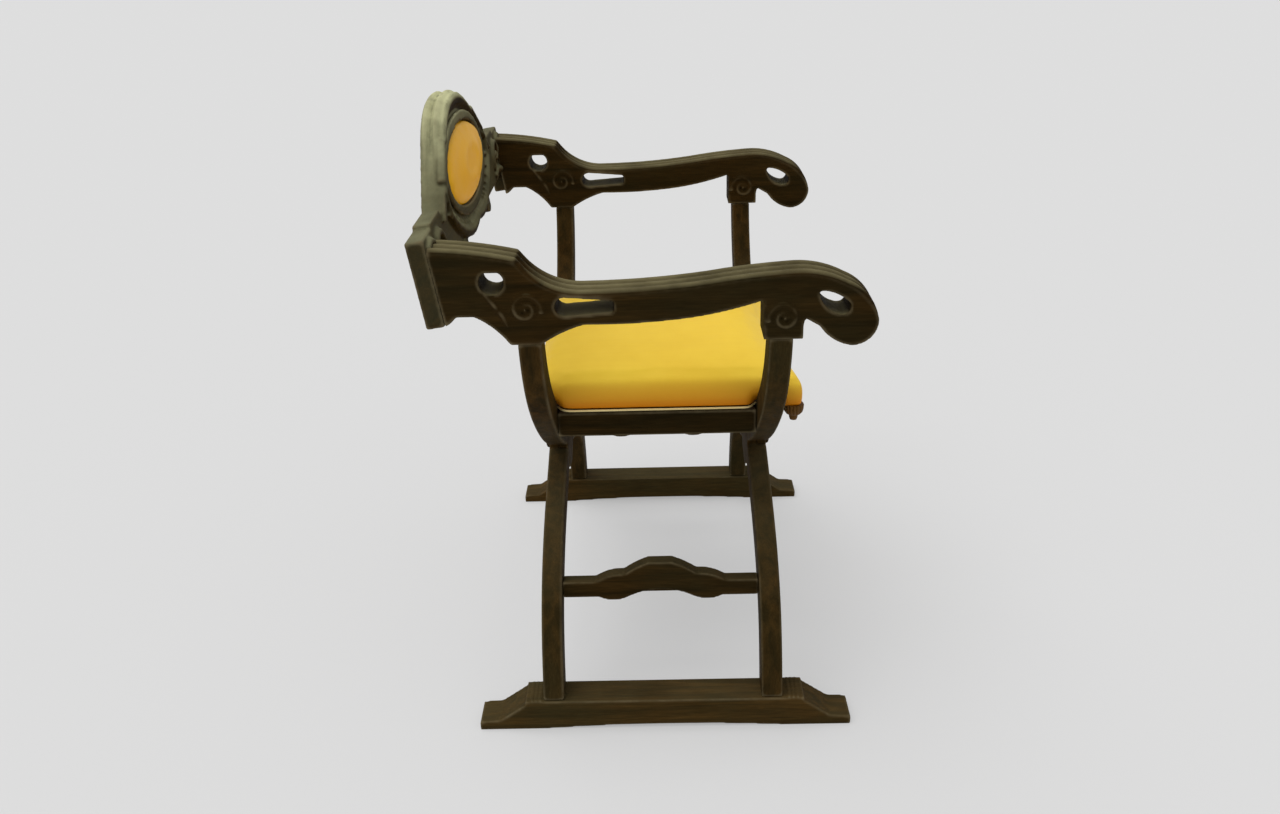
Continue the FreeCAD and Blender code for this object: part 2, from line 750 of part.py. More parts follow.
def build():
    left = {"arm": arm(), "front_leg": leg(front_leg_forward, -1), "rear_leg": leg(rear_leg_forward, -1),
            "seat_rail": rail_solid(True), "back_peg": back_peg(), "sling_tacks": tacks(),
            "stretcher": stretcher()}
    shapes = {}
    for name, shape in left.items():
        shapes["left_" + name] = shape
        shapes["right_" + name] = mirrored(shape)
    for place, forward in (("front_leg", front_leg_forward), ("rear_leg", rear_leg_forward)):
        shapes["right_" + place] = mirrored(leg(forward, 1))
    shapes["right_runner"] = runner()
    shapes["left_runner"] = mirrored(runner())
    shapes["pivot_rod"] = pivot_rod()
    shapes["front_rosette"] = rosette(front_leg_forward, 1)
    shapes["rear_rosette"] = rosette(rear_leg_forward, -1)
    shapes["seat_sling"] = seat_sling()
    shapes["seat_cushion"] = seat_cushion()
    shapes["back_board"] = leaned(drawn_board())
    shapes["oval_ring"] = leaned(drawn_ring())
    shapes["back_panel"] = leaned(drawn_panel())
    shapes["panel_screws"] = leaned(drawn_screws())
    shapes["oval_pad"] = leaned(drawn_pad())
    return shapes


shapes = build()
whole = Part.makeCompound(list(shapes.values())).optimalBoundingBox(False, False)
to_middle = FreeCAD.Vector(0, -(whole.YMin + whole.YMax) / 2, 0)
for name, shape in shapes.items():
    shape.translate(to_middle)
    shape.exportStep("parts/" + name + ".step")
    print(name, "valid", shape.isValid(), "solids", len(shape.Solids), "cm3", round(shape.Volume / 1000, 2))
print("moved along Y by", round(to_middle.y, 3))
print("size", [round(v, 1) for v in (whole.XLength, whole.YLength, whole.ZLength)])
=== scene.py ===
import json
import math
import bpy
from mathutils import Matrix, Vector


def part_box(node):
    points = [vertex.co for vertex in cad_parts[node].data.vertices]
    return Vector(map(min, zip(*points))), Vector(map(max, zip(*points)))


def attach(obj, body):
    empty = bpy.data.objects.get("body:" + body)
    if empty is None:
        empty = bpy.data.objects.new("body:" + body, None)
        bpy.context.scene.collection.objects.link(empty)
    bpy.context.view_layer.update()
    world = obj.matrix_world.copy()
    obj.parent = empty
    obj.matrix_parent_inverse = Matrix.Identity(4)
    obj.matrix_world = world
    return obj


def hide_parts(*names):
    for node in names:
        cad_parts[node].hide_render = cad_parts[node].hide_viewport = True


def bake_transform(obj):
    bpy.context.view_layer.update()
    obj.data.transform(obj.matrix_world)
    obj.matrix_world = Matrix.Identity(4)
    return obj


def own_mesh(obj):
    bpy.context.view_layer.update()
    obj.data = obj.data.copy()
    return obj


bl_info = {
    "name": "Savonarola Chair",
    "version": (1, 0, 0),
    "blender": (4, 5, 0),
    "location": "View3D > Sidebar > Chair",
    "description": "Dresses a folding X-frame armchair with carved wood, silk and brass",
    "category": "Add Mesh",
}

import bmesh
import bpy
import numpy as np
from mathutils import Vector
from mathutils.bvhtree import BVHTree

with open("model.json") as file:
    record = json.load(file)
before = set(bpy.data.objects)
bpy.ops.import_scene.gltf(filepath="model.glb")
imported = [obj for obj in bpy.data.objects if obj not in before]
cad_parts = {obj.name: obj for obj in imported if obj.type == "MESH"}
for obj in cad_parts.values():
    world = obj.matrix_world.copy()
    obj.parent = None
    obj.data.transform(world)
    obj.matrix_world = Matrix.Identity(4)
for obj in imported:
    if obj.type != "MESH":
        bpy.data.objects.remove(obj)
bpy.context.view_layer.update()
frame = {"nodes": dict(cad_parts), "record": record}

# The middle of the runners is the chair's "forward 0". Forward is -Y, and +X is the sitter's left.
RUNNER_LOW, RUNNER_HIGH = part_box("right_runner")
MIDDLE_Y = (RUNNER_LOW.y + RUNNER_HIGH.y) / 2


def at(across, forward, up):
    """A place, from how far it is to the sitter's left, forward and above the floor."""
    return Vector((across, MIDDLE_Y - forward, up))


# Settings


def colour(name, description, default):
    return bpy.props.FloatVectorProperty(
        name=name, description=description, subtype="COLOR", size=3, default=default)


class ChairColours(bpy.types.PropertyGroup):
    """Colours of the chair's finishes."""

    wood: colour("Wood", "Dark waxed wood", (0.019, 0.0115, 0.0034))
    wood_warm: colour("Warm wood", "Lighter streaks of the grain", (0.052, 0.027, 0.0068))
    wood_olive: colour("Olive wood", "Greener stretches of the old wax", (0.027, 0.0235, 0.0095))
    # Dust and a painted sheen: wood that faces up is lightened as if it caught the light from above.
    dust_and_sheen: colour("Bloom", "Greyish bloom on surfaces that face up", (0.180, 0.155, 0.078))
    # A painted highlight: the back board is paler high up, as if catching light from above and behind.
    board_painted_highlight: colour("Board's bloom", "Paler bloom high on the back board", (0.72, 0.72, 0.41))
    wear: colour("Wear", "Rubbed edges", (0.17, 0.135, 0.075))
    silk: colour("Cushion silk", "Yellow silk of the seat cushion", (1.0, 0.69, 0.062))
    piping: colour("Piping", "Pale cord round the cushion's lower edge", (0.86, 0.72, 0.36))
    trim: colour("Corner trim", "Darker gathered trim at the cushion's front corners",
                 (0.105, 0.045, 0.008))
    pad_silk: colour("Pad silk", "Deeper yellow silk of the back pad", (0.90, 0.48, 0.012))
    leather: colour("Sling leather", "Leather of the sling under the cushion", (0.030, 0.015, 0.007))
    backdrop: colour("Backdrop", "Floor and backdrop", (0.73, 0.73, 0.73))


class ChairSizes(bpy.types.PropertyGroup):
    """Sizes of the details that are added to the frame."""

    wood_cell: bpy.props.FloatProperty(
        name="Carving cell", description="Cell size of the carved wood's mesh", unit="LENGTH",
        default=0.0018, min=0.001, max=0.005)
    pressure: bpy.props.FloatProperty(
        name="Filling pressure", description="How hard the filling pushes the covers out",
        default=4.0, min=0.0, max=10.0)
    puff: bpy.props.FloatProperty(
        name="Largest swelling", description="The furthest that a point of the cushion may move",
        unit="LENGTH", default=0.0034, min=0.0, max=0.02)
    voxel: bpy.props.FloatProperty(
        name="Cloth cell", description="Size of the cloth mesh's cells while it is simulated",
        unit="LENGTH", default=0.0055, min=0.004, max=0.01)


def colours():
    return bpy.context.scene.chair_colours


def sizes():
    return bpy.context.scene.chair_sizes


# Shared shader effects


class Tree:
    """A node tree with short ways to add nodes, fed by numbers, colours or other nodes' sockets."""

    def __init__(self, tree):
        self.nodes, self.links = tree.nodes, tree.links

    def feed(self, node, inputs):
        for name, value in inputs.items():
            if isinstance(value, bpy.types.NodeSocket):
                self.links.new(value, node.inputs[name])
            else:
                node.inputs[name].default_value = value
        return node

    def add(self, kind, inputs=None, **settings):
        node = self.nodes.new("ShaderNode" + kind)
        for name, value in settings.items():
            setattr(node, name, value)
        return self.feed(node, inputs or {})

    def effect(self, group, **inputs):
        """A shared effect's outputs."""
        return self.add("Group", inputs, node_tree=group).outputs

    def maths(self, operation, first, second):
        return self.add("Math", {0: first, 1: second}, operation=operation).outputs[0]

    def mixed(self, factor, first, second):
        """Two colours mixed: the Mix node's inputs 6 and 7, and its output 2, are its colours."""
        inputs = {0: factor}
        for socket, value in ((6, first), (7, second)):
            inputs[socket] = value if isinstance(value, bpy.types.NodeSocket) else (*value, 1.0)
        return self.add("Mix", inputs, data_type="RGBA").outputs[2]

    def ranged(self, value, low, high):
        """A share from 0 to 1, spread from one number to another."""
        inputs = {"Value": value, "To Min": low, "To Max": high}
        return self.add("MapRange", inputs).outputs["Result"]

    def bump(self, height, strength, distance, **more):
        inputs = {"Height": height, "Strength": strength, "Distance": distance, **more}
        return self.add("Bump", inputs).outputs["Normal"]


def new_group(name, vector, numbers, outputs):
    """A shader group with a vector and numbers going in and numbers coming out."""
    group = bpy.data.node_groups.new(name, "ShaderNodeTree")
    group.interface.new_socket(name=vector, in_out="INPUT", socket_type="NodeSocketVector")
    for socket, value in numbers.items():
        made = group.interface.new_socket(name=socket, in_out="INPUT", socket_type="NodeSocketFloat")
        made.default_value = value
    for socket in outputs:
        group.interface.new_socket(name=socket, in_out="OUTPUT", socket_type="NodeSocketFloat")
    start, end = group.nodes.new("NodeGroupInput"), group.nodes.new("NodeGroupOutput")
    return group, Tree(group), start.outputs, end


def grain_group():
    """Wood grain: long streaks along Z of the given vector, with fine pores."""
    name = "Wood grain"
    if name in bpy.data.node_groups:
        return bpy.data.node_groups[name]
    group, tree, given, end = new_group(name, "Vector", {"Scale": 60.0}, ("Streak", "Pore"))
    along = {0: given["Vector"], 1: (1.0, 1.0, 0.07)}
    stretched = tree.add("VectorMath", along, operation="MULTIPLY").outputs[0]
    for output, fineness, detail, dark, light in (
            ("Streak", 1.0, 5.0, 0.34, 0.68), ("Pore", 7.0, 2.0, 0.30, 0.62)):
        noise = tree.add("TexNoise", {
            "Vector": stretched, "Scale": tree.maths("MULTIPLY", given["Scale"], fineness),
            "Detail": detail, "Distortion": 0.6})
        ramp = tree.add("ValToRGB", {"Fac": noise.outputs["Fac"]})
        for stop, place, value in zip(ramp.color_ramp.elements, (dark, light), (0.0, 1.0)):
            stop.position = place
            stop.color = (value, value, value, 1.0)
        tree.feed(end, {output: ramp.outputs["Color"]})
    return group


def patches_group():
    """Soft patches for uneven wax, rubbing and dust."""
    name = "Uneven patches"
    if name in bpy.data.node_groups:
        return bpy.data.node_groups[name]
    group, tree, given, end = new_group(
        name, "Vector", {"Scale": 18.0, "Low": 0.0, "High": 1.0}, ("Amount",))
    noise = tree.add("TexNoise", {
        "Vector": given["Vector"], "Scale": given["Scale"], "Detail": 4.0, "Roughness": 0.6})
    reach = tree.add("MapRange", {
        "Value": noise.outputs["Fac"], "From Min": 0.35, "From Max": 0.65,
        "To Min": given["Low"], "To Max": given["High"]})
    tree.feed(end, {"Amount": reach.outputs["Result"]})
    return group


def rise_group(name, source, low, high):
    """How far Z of a normal or of a place is from one number to another."""
    if name in bpy.data.node_groups:
        return bpy.data.node_groups[name]
    group, tree, given, end = new_group(name, source, {low: 0.0, high: 1.0}, ("Amount",))
    split = tree.add("SeparateXYZ", {0: given[source]})
    reach = tree.add("MapRange", {
        "Value": split.outputs["Z"], "From Min": given[low], "From Max": given[high]})
    tree.feed(end, {"Amount": reach.outputs["Result"]})
    return group


def patches(tree, place, **inputs):
    return tree.effect(patches_group(), Vector=place["Object"], **inputs)["Amount"]


def facing_up(tree, place, start, full):
    group = rise_group("Facing up", "Normal", "Start", "Full")
    return tree.effect(group, Normal=place["Normal"], Start=start, Full=full)["Amount"]


def height_share(tree, place, foot, top):
    group = rise_group("Height share", "Vector", "Foot", "Top")
    return tree.effect(group, Vector=place["Object"], Foot=foot, Top=top)["Amount"]


def weave_group():
    """A satin weave's height and slubs from a flat pair of coordinates."""
    name = "Satin weave"
    if name in bpy.data.node_groups:
        return bpy.data.node_groups[name]
    group, tree, given, end = new_group(name, "Vector", {"Threads": 1400.0}, ("Height", "Slub"))
    threads = []
    for direction, share in (("X", 0.16), ("Y", 0.08)):
        wave = tree.add("TexWave", {
            "Vector": given["Vector"], "Scale": tree.maths("MULTIPLY", given["Threads"], share),
            "Distortion": 0.4}, bands_direction=direction)
        threads.append(wave.outputs["Fac"])
    along = {0: given["Vector"], 1: (1.0, 0.05, 1.0)}
    stretched = tree.add("VectorMath", along, operation="MULTIPLY").outputs[0]
    slub = tree.add("TexNoise", {"Vector": stretched, "Scale": 260.0})
    tree.feed(end, {"Height": tree.maths("MULTIPLY", *threads), "Slub": slub.outputs["Fac"]})
    return group


def new_material(name):
    material = bpy.data.materials.new(name)
    material.use_nodes = True
    return material, Tree(material.node_tree), material.node_tree.nodes["Principled BSDF"]


# How Object coordinates are turned so that the grain runs along an axis
GRAIN_TURNS = {"X": (0, math.radians(90), 0), "Y": (math.radians(90), 0, 0), "Z": (0, 0, 0)}

# Each wooden finish: its grain's direction, how much dust and painted sheen its top gets and how light it
# is
# The rails' low lightness is painted shade, for where they lie under the cushion.
FINISHES = {"arms": ("Y", 0.95, 0.85), "legs": ("Z", 0.2, 1.30), "rails": ("Y", 0.1, 0.72),
            "stretchers": ("Y", 0.2, 1.10), "runners": ("Y", 0.15, 1.85), "board": ("X", 1.0, 0.9),
            "trim": ("Y", 0.2, 1.0)}
# From where to where a surface's upward share gathers dust and painted sheen, on the board and elsewhere
BOARD_UPWARD = (-0.10, 0.75)
UPWARD = (0.60, 0.96)
# The heights between which the board's painted highlight grows, and its least share
PAINTED_HIGHLIGHT_HEIGHTS = (0.66, 0.82, 0.22)


def wood(kind):
    """Dark waxed wood: dusty with a painted sheen on top, rubbed on its edges, painted shade in hollows.
    """
    axis, dust_and_sheen_share, light = FINISHES[kind]
    name = f"Dark wood {kind}"
    if name in bpy.data.materials:
        return bpy.data.materials[name]
    material, tree, shader = new_material(name)
    place = tree.add("TexCoord").outputs
    turned_place = tree.add("Mapping", {"Vector": place["Object"], "Rotation": GRAIN_TURNS[axis]})
    grain = tree.effect(grain_group(), Vector=turned_place.outputs[0], Scale=75.0)

    def stored(mark):
        return tree.add("Attribute", attribute_name=mark).outputs["Fac"]

    wax = patches(tree, place, Scale=14.0, Low=0.50)
    # How far a surface faces up, where dust and a painted sheen gather.
    start, full = BOARD_UPWARD if kind == "board" else UPWARD
    up = facing_up(tree, place, start, full)
    tint = colours()
    plain, warm, green, dark = ([value * share * light for value in colour] for colour, share in (
        (tint.wood, 1.0), (tint.wood_warm, 1.0), (tint.wood_olive, 1.0), (tint.wood, 0.40)))
    body = tree.mixed(grain["Streak"], plain, warm)
    body = tree.mixed(tree.maths("MULTIPLY", patches(tree, place, Scale=5.0), 0.55), body, green)
    body = tree.mixed(tree.maths("MULTIPLY", grain["Pore"], 0.35), body, dark)
    # Dust and a painted sheen on surfaces that face up, patchy with the wax.
    dust_and_sheen = tree.maths("MULTIPLY", tree.maths("MULTIPLY", up, wax), dust_and_sheen_share)
    dust_and_sheen_colour = tint.dust_and_sheen
    # On the board the sheen is a painted highlight that grows with height, as if lit from above and
    # behind.
    if kind == "board":
        foot, top, least = PAINTED_HIGHLIGHT_HEIGHTS
        high = tree.maths("MAXIMUM", height_share(tree, place, foot, top), least)
        dust_and_sheen = tree.maths("MULTIPLY", dust_and_sheen, high)
        dust_and_sheen_colour = tint.board_painted_highlight
    body = tree.mixed(dust_and_sheen, body, dust_and_sheen_colour)
    # Painted shade: hollows and grooves darkened as if light did not reach into them.
    body = tree.mixed(tree.maths("MULTIPLY", stored("hollow"), 0.85), body, dark)
    edges = patches(tree, place, Scale=30.0, Low=0.38, High=0.95)
    rubbed = tree.maths("MULTIPLY", edges, stored("wear"))
    relief = tree.maths("ADD", grain["Streak"], grain["Pore"])
    tree.feed(shader, {
        "Base Color": tree.mixed(rubbed, body, tint.wear), "Roughness": tree.ranged(wax, 0.45, 0.68),
        "Specular IOR Level": 0.02, "Specular Tint": (1.0, 0.80, 0.50, 1.0),
        "Normal": tree.bump(relief, 0.35, 0.0006)})
    return material


def silk(name, tint, upright=False):
    """Satin silk: fine weave, long slubs, and on the cushion painted shade down its sides to the seam."""
    if name in bpy.data.materials:
        return bpy.data.materials[name]
    material, tree, shader = new_material(name)
    place = tree.add("TexCoord").outputs
    turn = (math.radians(90), 0, 0) if upright else (0, 0, 0)
    flat = tree.add("Mapping", {"Vector": place["Object"], "Rotation": turn}).outputs[0]
    weave = tree.effect(weave_group(), Vector=flat)
    deep = [tint[0] * 0.78, tint[1] * 0.66, tint[2] * 0.35]
    body = tree.mixed(tree.maths("MULTIPLY", patches(tree, place, Scale=7.0), 0.32), tint, deep)
    body = tree.mixed(tree.maths("MULTIPLY", weave["Slub"], 0.18), body, deep)
    if not upright:
        # Painted shade: the cushion's sides darken downwards to the seam, as if turned from the light
        # above.
        low = height_share(tree, place, 0.466, 0.404)
        side = facing_up(tree, place, 0.75, -0.10)
        shade = [tint[0] * 0.62, tint[1] * 0.30, tint[2] * 0.04]
        painted_shade_share = tree.maths(
            "ADD", tree.maths("MULTIPLY", side, low), tree.maths("MULTIPLY", side, 0.15))
        body = tree.mixed(painted_shade_share, body, shade)
    puckers = patches(tree, place, Scale=24.0)
    threads = tree.maths("ADD", weave["Height"], weave["Slub"])
    tree.feed(shader, {
        "Base Color": body, "Roughness": 0.52, "Specular IOR Level": 0.25,
        "Specular Tint": (1.0, 0.85, 0.50, 1.0),
        "Normal": tree.bump(threads, 0.18, 0.0004, Normal=tree.bump(puckers, 0.22, 0.0016))})
    return material


def leather():
    """Dark leather with a fine pebbled grain."""
    name = "Sling leather"
    if name in bpy.data.materials:
        return bpy.data.materials[name]
    material, tree, shader = new_material(name)
    place = tree.add("TexCoord").outputs
    cells = tree.add("TexVoronoi", {"Vector": place["Object"], "Scale": 700.0})
    tint = colours().leather
    tree.feed(shader, {
        "Base Color": tree.mixed(patches(tree, place), tint, [value * 0.55 for value in tint]),
        "Roughness": 0.60, "Specular IOR Level": 0.12, "Specular Tint": (1.0, 0.80, 0.50, 1.0),
        "Normal": tree.bump(cells.outputs["Distance"], 0.3, 0.0005)})
    return material


# Metals: name, colour, least roughness and how fine the tarnish is
IRON = ("Iron", (0.22, 0.20, 0.18), 0.45, 60.0)
BRASS = ("Aged brass", (0.60, 0.42, 0.16), 0.30, 90.0)


def metal(name, tint, roughness, spots):
    """Aged metal: brass or iron, with darker tarnish in patches."""
    if name in bpy.data.materials:
        return bpy.data.materials[name]
    material, tree, shader = new_material(name)
    place = tree.add("TexCoord").outputs
    tarnish = patches(tree, place, Scale=spots)
    tree.feed(shader, {
        "Base Color": tree.mixed(tarnish, tint, [value * 0.35 for value in tint]), "Metallic": 1.0,
        "Roughness": tree.ranged(tarnish, roughness, roughness + 0.25)})
    return material


# Mesh helpers


def new_piece(name, mesh, finish):
    piece = bpy.data.objects.new(name, mesh)
    bpy.context.scene.collection.objects.link(piece)
    if finish.name not in mesh.materials:
        mesh.materials.append(finish)
    return piece


def from_bmesh(name, bm, finish):
    mesh = bpy.data.meshes.new(name)
    bm.to_mesh(mesh)
    bm.free()
    return new_piece(name, mesh, finish)


def applied(piece):
    """Turn a piece's modifiers into its plain mesh."""
    bpy.context.view_layer.update()
    graph = bpy.context.evaluated_depsgraph_get()
    mesh = bpy.data.meshes.new_from_object(piece.evaluated_get(graph))
    old = piece.data
    piece.modifiers.clear()
    piece.data = mesh
    mesh.name = piece.name
    bpy.data.meshes.remove(old)
    return piece


def smooth(piece, degrees):
    """Shade a piece smoothly, apart from edges sharper than an angle."""
    piece.data.polygons.foreach_set("use_smooth", [True] * len(piece.data.polygons))
    piece.data.set_sharp_from_angle(angle=math.radians(degrees))
    return piece


def settle(piece, body, node):
    """Give a finished piece its body, and hide the CAD node that it stands for."""
    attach(piece, body)
    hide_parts(node)


def body_of(node):
    """The moving body that a CAD node belongs to, from the record."""
    return next(name for name, nodes in frame["record"]["behaviour"]["bodies"].items() if node in nodes)


def node_copy(node):
    """A CAD node's mesh with its doubles merged."""
    bm = bmesh.new()
    bm.from_mesh(frame["nodes"][node].data)
    bmesh.ops.remove_doubles(bm, verts=bm.verts, dist=1e-5)
    return bm


def remeshed(piece, size):
    """Give a piece one even mesh, its own solids and ornament grown together."""
    voxel = piece.modifiers.new("Cells", "REMESH")
    voxel.mode = "VOXEL"
    voxel.voxel_size = size
    material = piece.data.materials[0]
    applied(piece)
    if not piece.data.materials:
        piece.data.materials.append(material)
    return piece


def softened(piece, times):
    """Ease a piece's edges by smoothing its mesh a number of times."""
    ease = piece.modifiers.new("Soften", "SMOOTH")
    ease.factor = 0.5
    ease.iterations = times
    return applied(piece)


def rows(vertices, name):
    """The vertices' places or normals, as rows of an array."""
    values = np.empty(len(vertices) * 3)
    vertices.foreach_get(name, values)
    return values.reshape(-1, 3)


# From how much bend a place counts as rubbed or hollow, and how much more makes it fully so
WEAR_BEND, HOLLOW_BEND, FULL_BEND = 0.042, 0.036, 0.085


def marked(piece, cell):
    """Store where a piece is rubbed and where it is hollow, from how its surface bends."""
    mesh = piece.data
    count = len(mesh.vertices)
    places, normals = rows(mesh.vertices, "co"), rows(mesh.vertices, "normal")
    ends = np.empty(len(mesh.edges) * 2, dtype=np.int64)
    mesh.edges.foreach_get("vertices", ends)
    first = np.concatenate((ends[::2], ends[1::2]))
    second = np.concatenate((ends[1::2], ends[::2]))
    degree = np.maximum(np.bincount(first, minlength=count), 1)

    def around(values):
        return np.bincount(first, weights=values[second], minlength=count) / degree

    middle = np.stack([around(places[:, k]) for k in range(3)], axis=1)
    bend = -((middle - places) * normals).sum(axis=1) / cell
    for _ in range(4):
        bend = (bend + around(bend)) / 2
    # The hollow mark becomes painted shade in the wooden finishes.
    for name, way, start in (("wear", 1, WEAR_BEND), ("hollow", -1, HOLLOW_BEND)):
        stored = mesh.attributes.new(name, "FLOAT", "POINT")
        stored.data.foreach_set("value", np.clip((way * bend - start) / FULL_BEND, 0.0, 1.0))


def carved(node, name, finish, soften=4, shaped=None, ornament=()):
    """A wooden node as hand-worked wood: shaped, grown together with its carving, and softened."""
    bm = node_copy(node)
    if shaped:
        shaped(bm)
    for bead in ornament:
        bm.from_mesh(bead.data)
        bpy.data.objects.remove(bead)
    piece = from_bmesh(name, bm, finish)
    cell = sizes().wood_cell
    softened(remeshed(piece, cell), soften)
    marked(piece, cell)
    smooth(piece, 60)
    settle(piece, body_of(node), node)


def painted(node, finish):
    """Give a CAD node that stays as it is its finish."""
    slots = frame["nodes"][node].data.materials
    slots.clear()
    slots.append(finish)


def rounded_path(points, per_step):
    """A smooth line through points, as a list of points."""
    last = len(points) - 1
    line = []
    for i in range(last):
        a, b, c, d = (points[min(max(i + k, 0), last)] for k in (-1, 0, 1, 2))
        for k in range(per_step):
            t = k / per_step
            line.append(0.5 * ((2 * b) + (c - a) * t + (2 * a - 5 * b + 4 * c - d) * t * t
                               + (3 * b - a - 3 * c + d) * t ** 3))
    line.append(points[-1].copy())
    return line


def swept(name, beads, finish, sides=10, closed=False):
    """Round beads from (line of points, radius or radii) pairs, made with Geometry Nodes' curve tools."""
    curve = bpy.data.curves.new(name + "_line", "CURVE")
    curve.dimensions = "3D"
    for line, radius in beads:
        spline = curve.splines.new("POLY")
        spline.points.add(len(line) - 1)
        for i, place in enumerate(line):
            spline.points[i].co = (*place, 1.0)
            spline.points[i].radius = radius[i] if isinstance(radius, (list, tuple)) else radius
        spline.use_cyclic_u = closed
    guide = bpy.data.objects.new(name + "_line", curve)
    bpy.context.scene.collection.objects.link(guide)
    tree = bpy.data.node_groups.get("Bead") or bead_tree()
    modifier = guide.modifiers.new("Bead", "NODES")
    modifier.node_group = tree
    keys = {item.name: item.identifier for item in tree.interface.items_tree if item.in_out == "INPUT"}
    modifier[keys["Sides"]] = sides
    modifier[keys["Finish"]] = finish
    bpy.context.view_layer.update()
    graph = bpy.context.evaluated_depsgraph_get()
    mesh = bpy.data.meshes.new_from_object(guide.evaluated_get(graph))
    bpy.data.objects.remove(guide)
    mesh.name = name
    return smooth(new_piece(name, mesh, finish), 50)


def bead_tree():
    """Geometry Nodes: a round bead along each curve, as thick as the curve's own radius."""
    tree = bpy.data.node_groups.new("Bead", "GeometryNodeTree")
    tree.interface.new_socket(name="Geometry", in_out="INPUT", socket_type="NodeSocketGeometry")
    sides = tree.interface.new_socket(name="Sides", in_out="INPUT", socket_type="NodeSocketInt")
    sides.default_value = 10
    tree.interface.new_socket(name="Finish", in_out="INPUT", socket_type="NodeSocketMaterial")
    tree.interface.new_socket(name="Geometry", in_out="OUTPUT", socket_type="NodeSocketGeometry")
    nodes, links = tree.nodes, tree.links
    start, end = nodes.new("NodeGroupInput"), nodes.new("NodeGroupOutput")
    circle = nodes.new("GeometryNodeCurvePrimitiveCircle")
    circle.inputs["Radius"].default_value = 1.0
    links.new(start.outputs["Sides"], circle.inputs["Resolution"])
    sweep = nodes.new("GeometryNodeCurveToMesh")
    sweep.inputs["Fill Caps"].default_value = True
    radius = nodes.new("GeometryNodeInputRadius")
    links.new(start.outputs["Geometry"], sweep.inputs["Curve"])
    links.new(circle.outputs["Curve"], sweep.inputs["Profile Curve"])
    if "Scale" in sweep.inputs:
        links.new(radius.outputs["Radius"], sweep.inputs["Scale"])
    plain = nodes.new("GeometryNodeRealizeInstances")
    finish = nodes.new("GeometryNodeSetMaterial")
    links.new(sweep.outputs["Mesh"], plain.inputs["Geometry"])
    links.new(plain.outputs["Geometry"], finish.inputs["Geometry"])
    links.new(start.outputs["Finish"], finish.inputs["Material"])
    links.new(finish.outputs["Geometry"], end.inputs["Geometry"])
    return tree


def skinned(bm, rings, closed=True):
    """Faces between rings or rows of points that follow each other; one point is a tip."""
    steps = max(len(ring) for ring in rings)
    for low, high in zip(rings, rings[1:]):
        for i in range(steps if closed else steps - 1):
            j = (i + 1) % steps
            corners = (low[i % len(low)], low[j % len(low)], high[j % len(high)], high[i % len(high)])
            corners = list(dict.fromkeys(corners))
            if len(corners) > 2:
                bm.faces.new(corners)


def turned(name, profile, centre, axis, finish, petals, depth, steps=96):
    """A turned solid from (radius, height) pairs round an axis, its rings scalloped into petals."""
    bm = bmesh.new()
    side = axis.orthogonal().normalized()
    other = axis.cross(side).normalized()
    rings = []
    for radius, height in profile:
        if radius < 1e-6:
            rings.append([bm.verts.new(centre + axis * height)])
            continue
        ring = []
        for i in range(steps):
            turn = 2 * math.pi * i / steps
            lobe = abs(math.cos(petals * turn / 2)) ** 0.6 if height > 0 else 1.0
            reach = radius - (1 - lobe) * depth * radius / profile[1][0]
            up = height - (1 - lobe) * depth * 0.6
            way = side * math.cos(turn) + other * math.sin(turn)
            ring.append(bm.verts.new(centre + axis * max(up, 0.0) + way * reach))
        rings.append(ring)
    skinned(bm, rings)
    bmesh.ops.recalc_face_normals(bm, faces=bm.faces)
    return smooth(from_bmesh(name, bm, finish), 40)


# Stage and camera


CAMERA_LENS = 32.34
CAMERA_PLACE = (-1.5817, MIDDLE_Y + 0.0021, 1.0343)
CAMERA_TURN = (65.7378, 1.4535, -89.7340)
# Lights: name, where it shines from, strength and spread in degrees
LIGHTS = (("Top light", (0.05, 0.45, 1.0), 1.20, 50.0), ("Side light", (-1.0, 0.5, 0.8), 0.20, 60.0))
ROOM_LIGHT = 0.62


def seen_directly(tree):
    """1 where the camera or a reflection looks at a surface, for the backdrop's own tone."""
    path = tree.add("LightPath").outputs
    return tree.maths("MAXIMUM", path["Is Camera Ray"], path["Is Glossy Ray"])


def mixed_surface(tree, factor, first, second, output):
    """Mix two shaders by a factor and give the result out."""
    both = tree.add("MixShader", {"Fac": factor, 1: first, 2: second})
    tree.feed(tree.nodes[output], {"Surface": both.outputs["Shader"]})


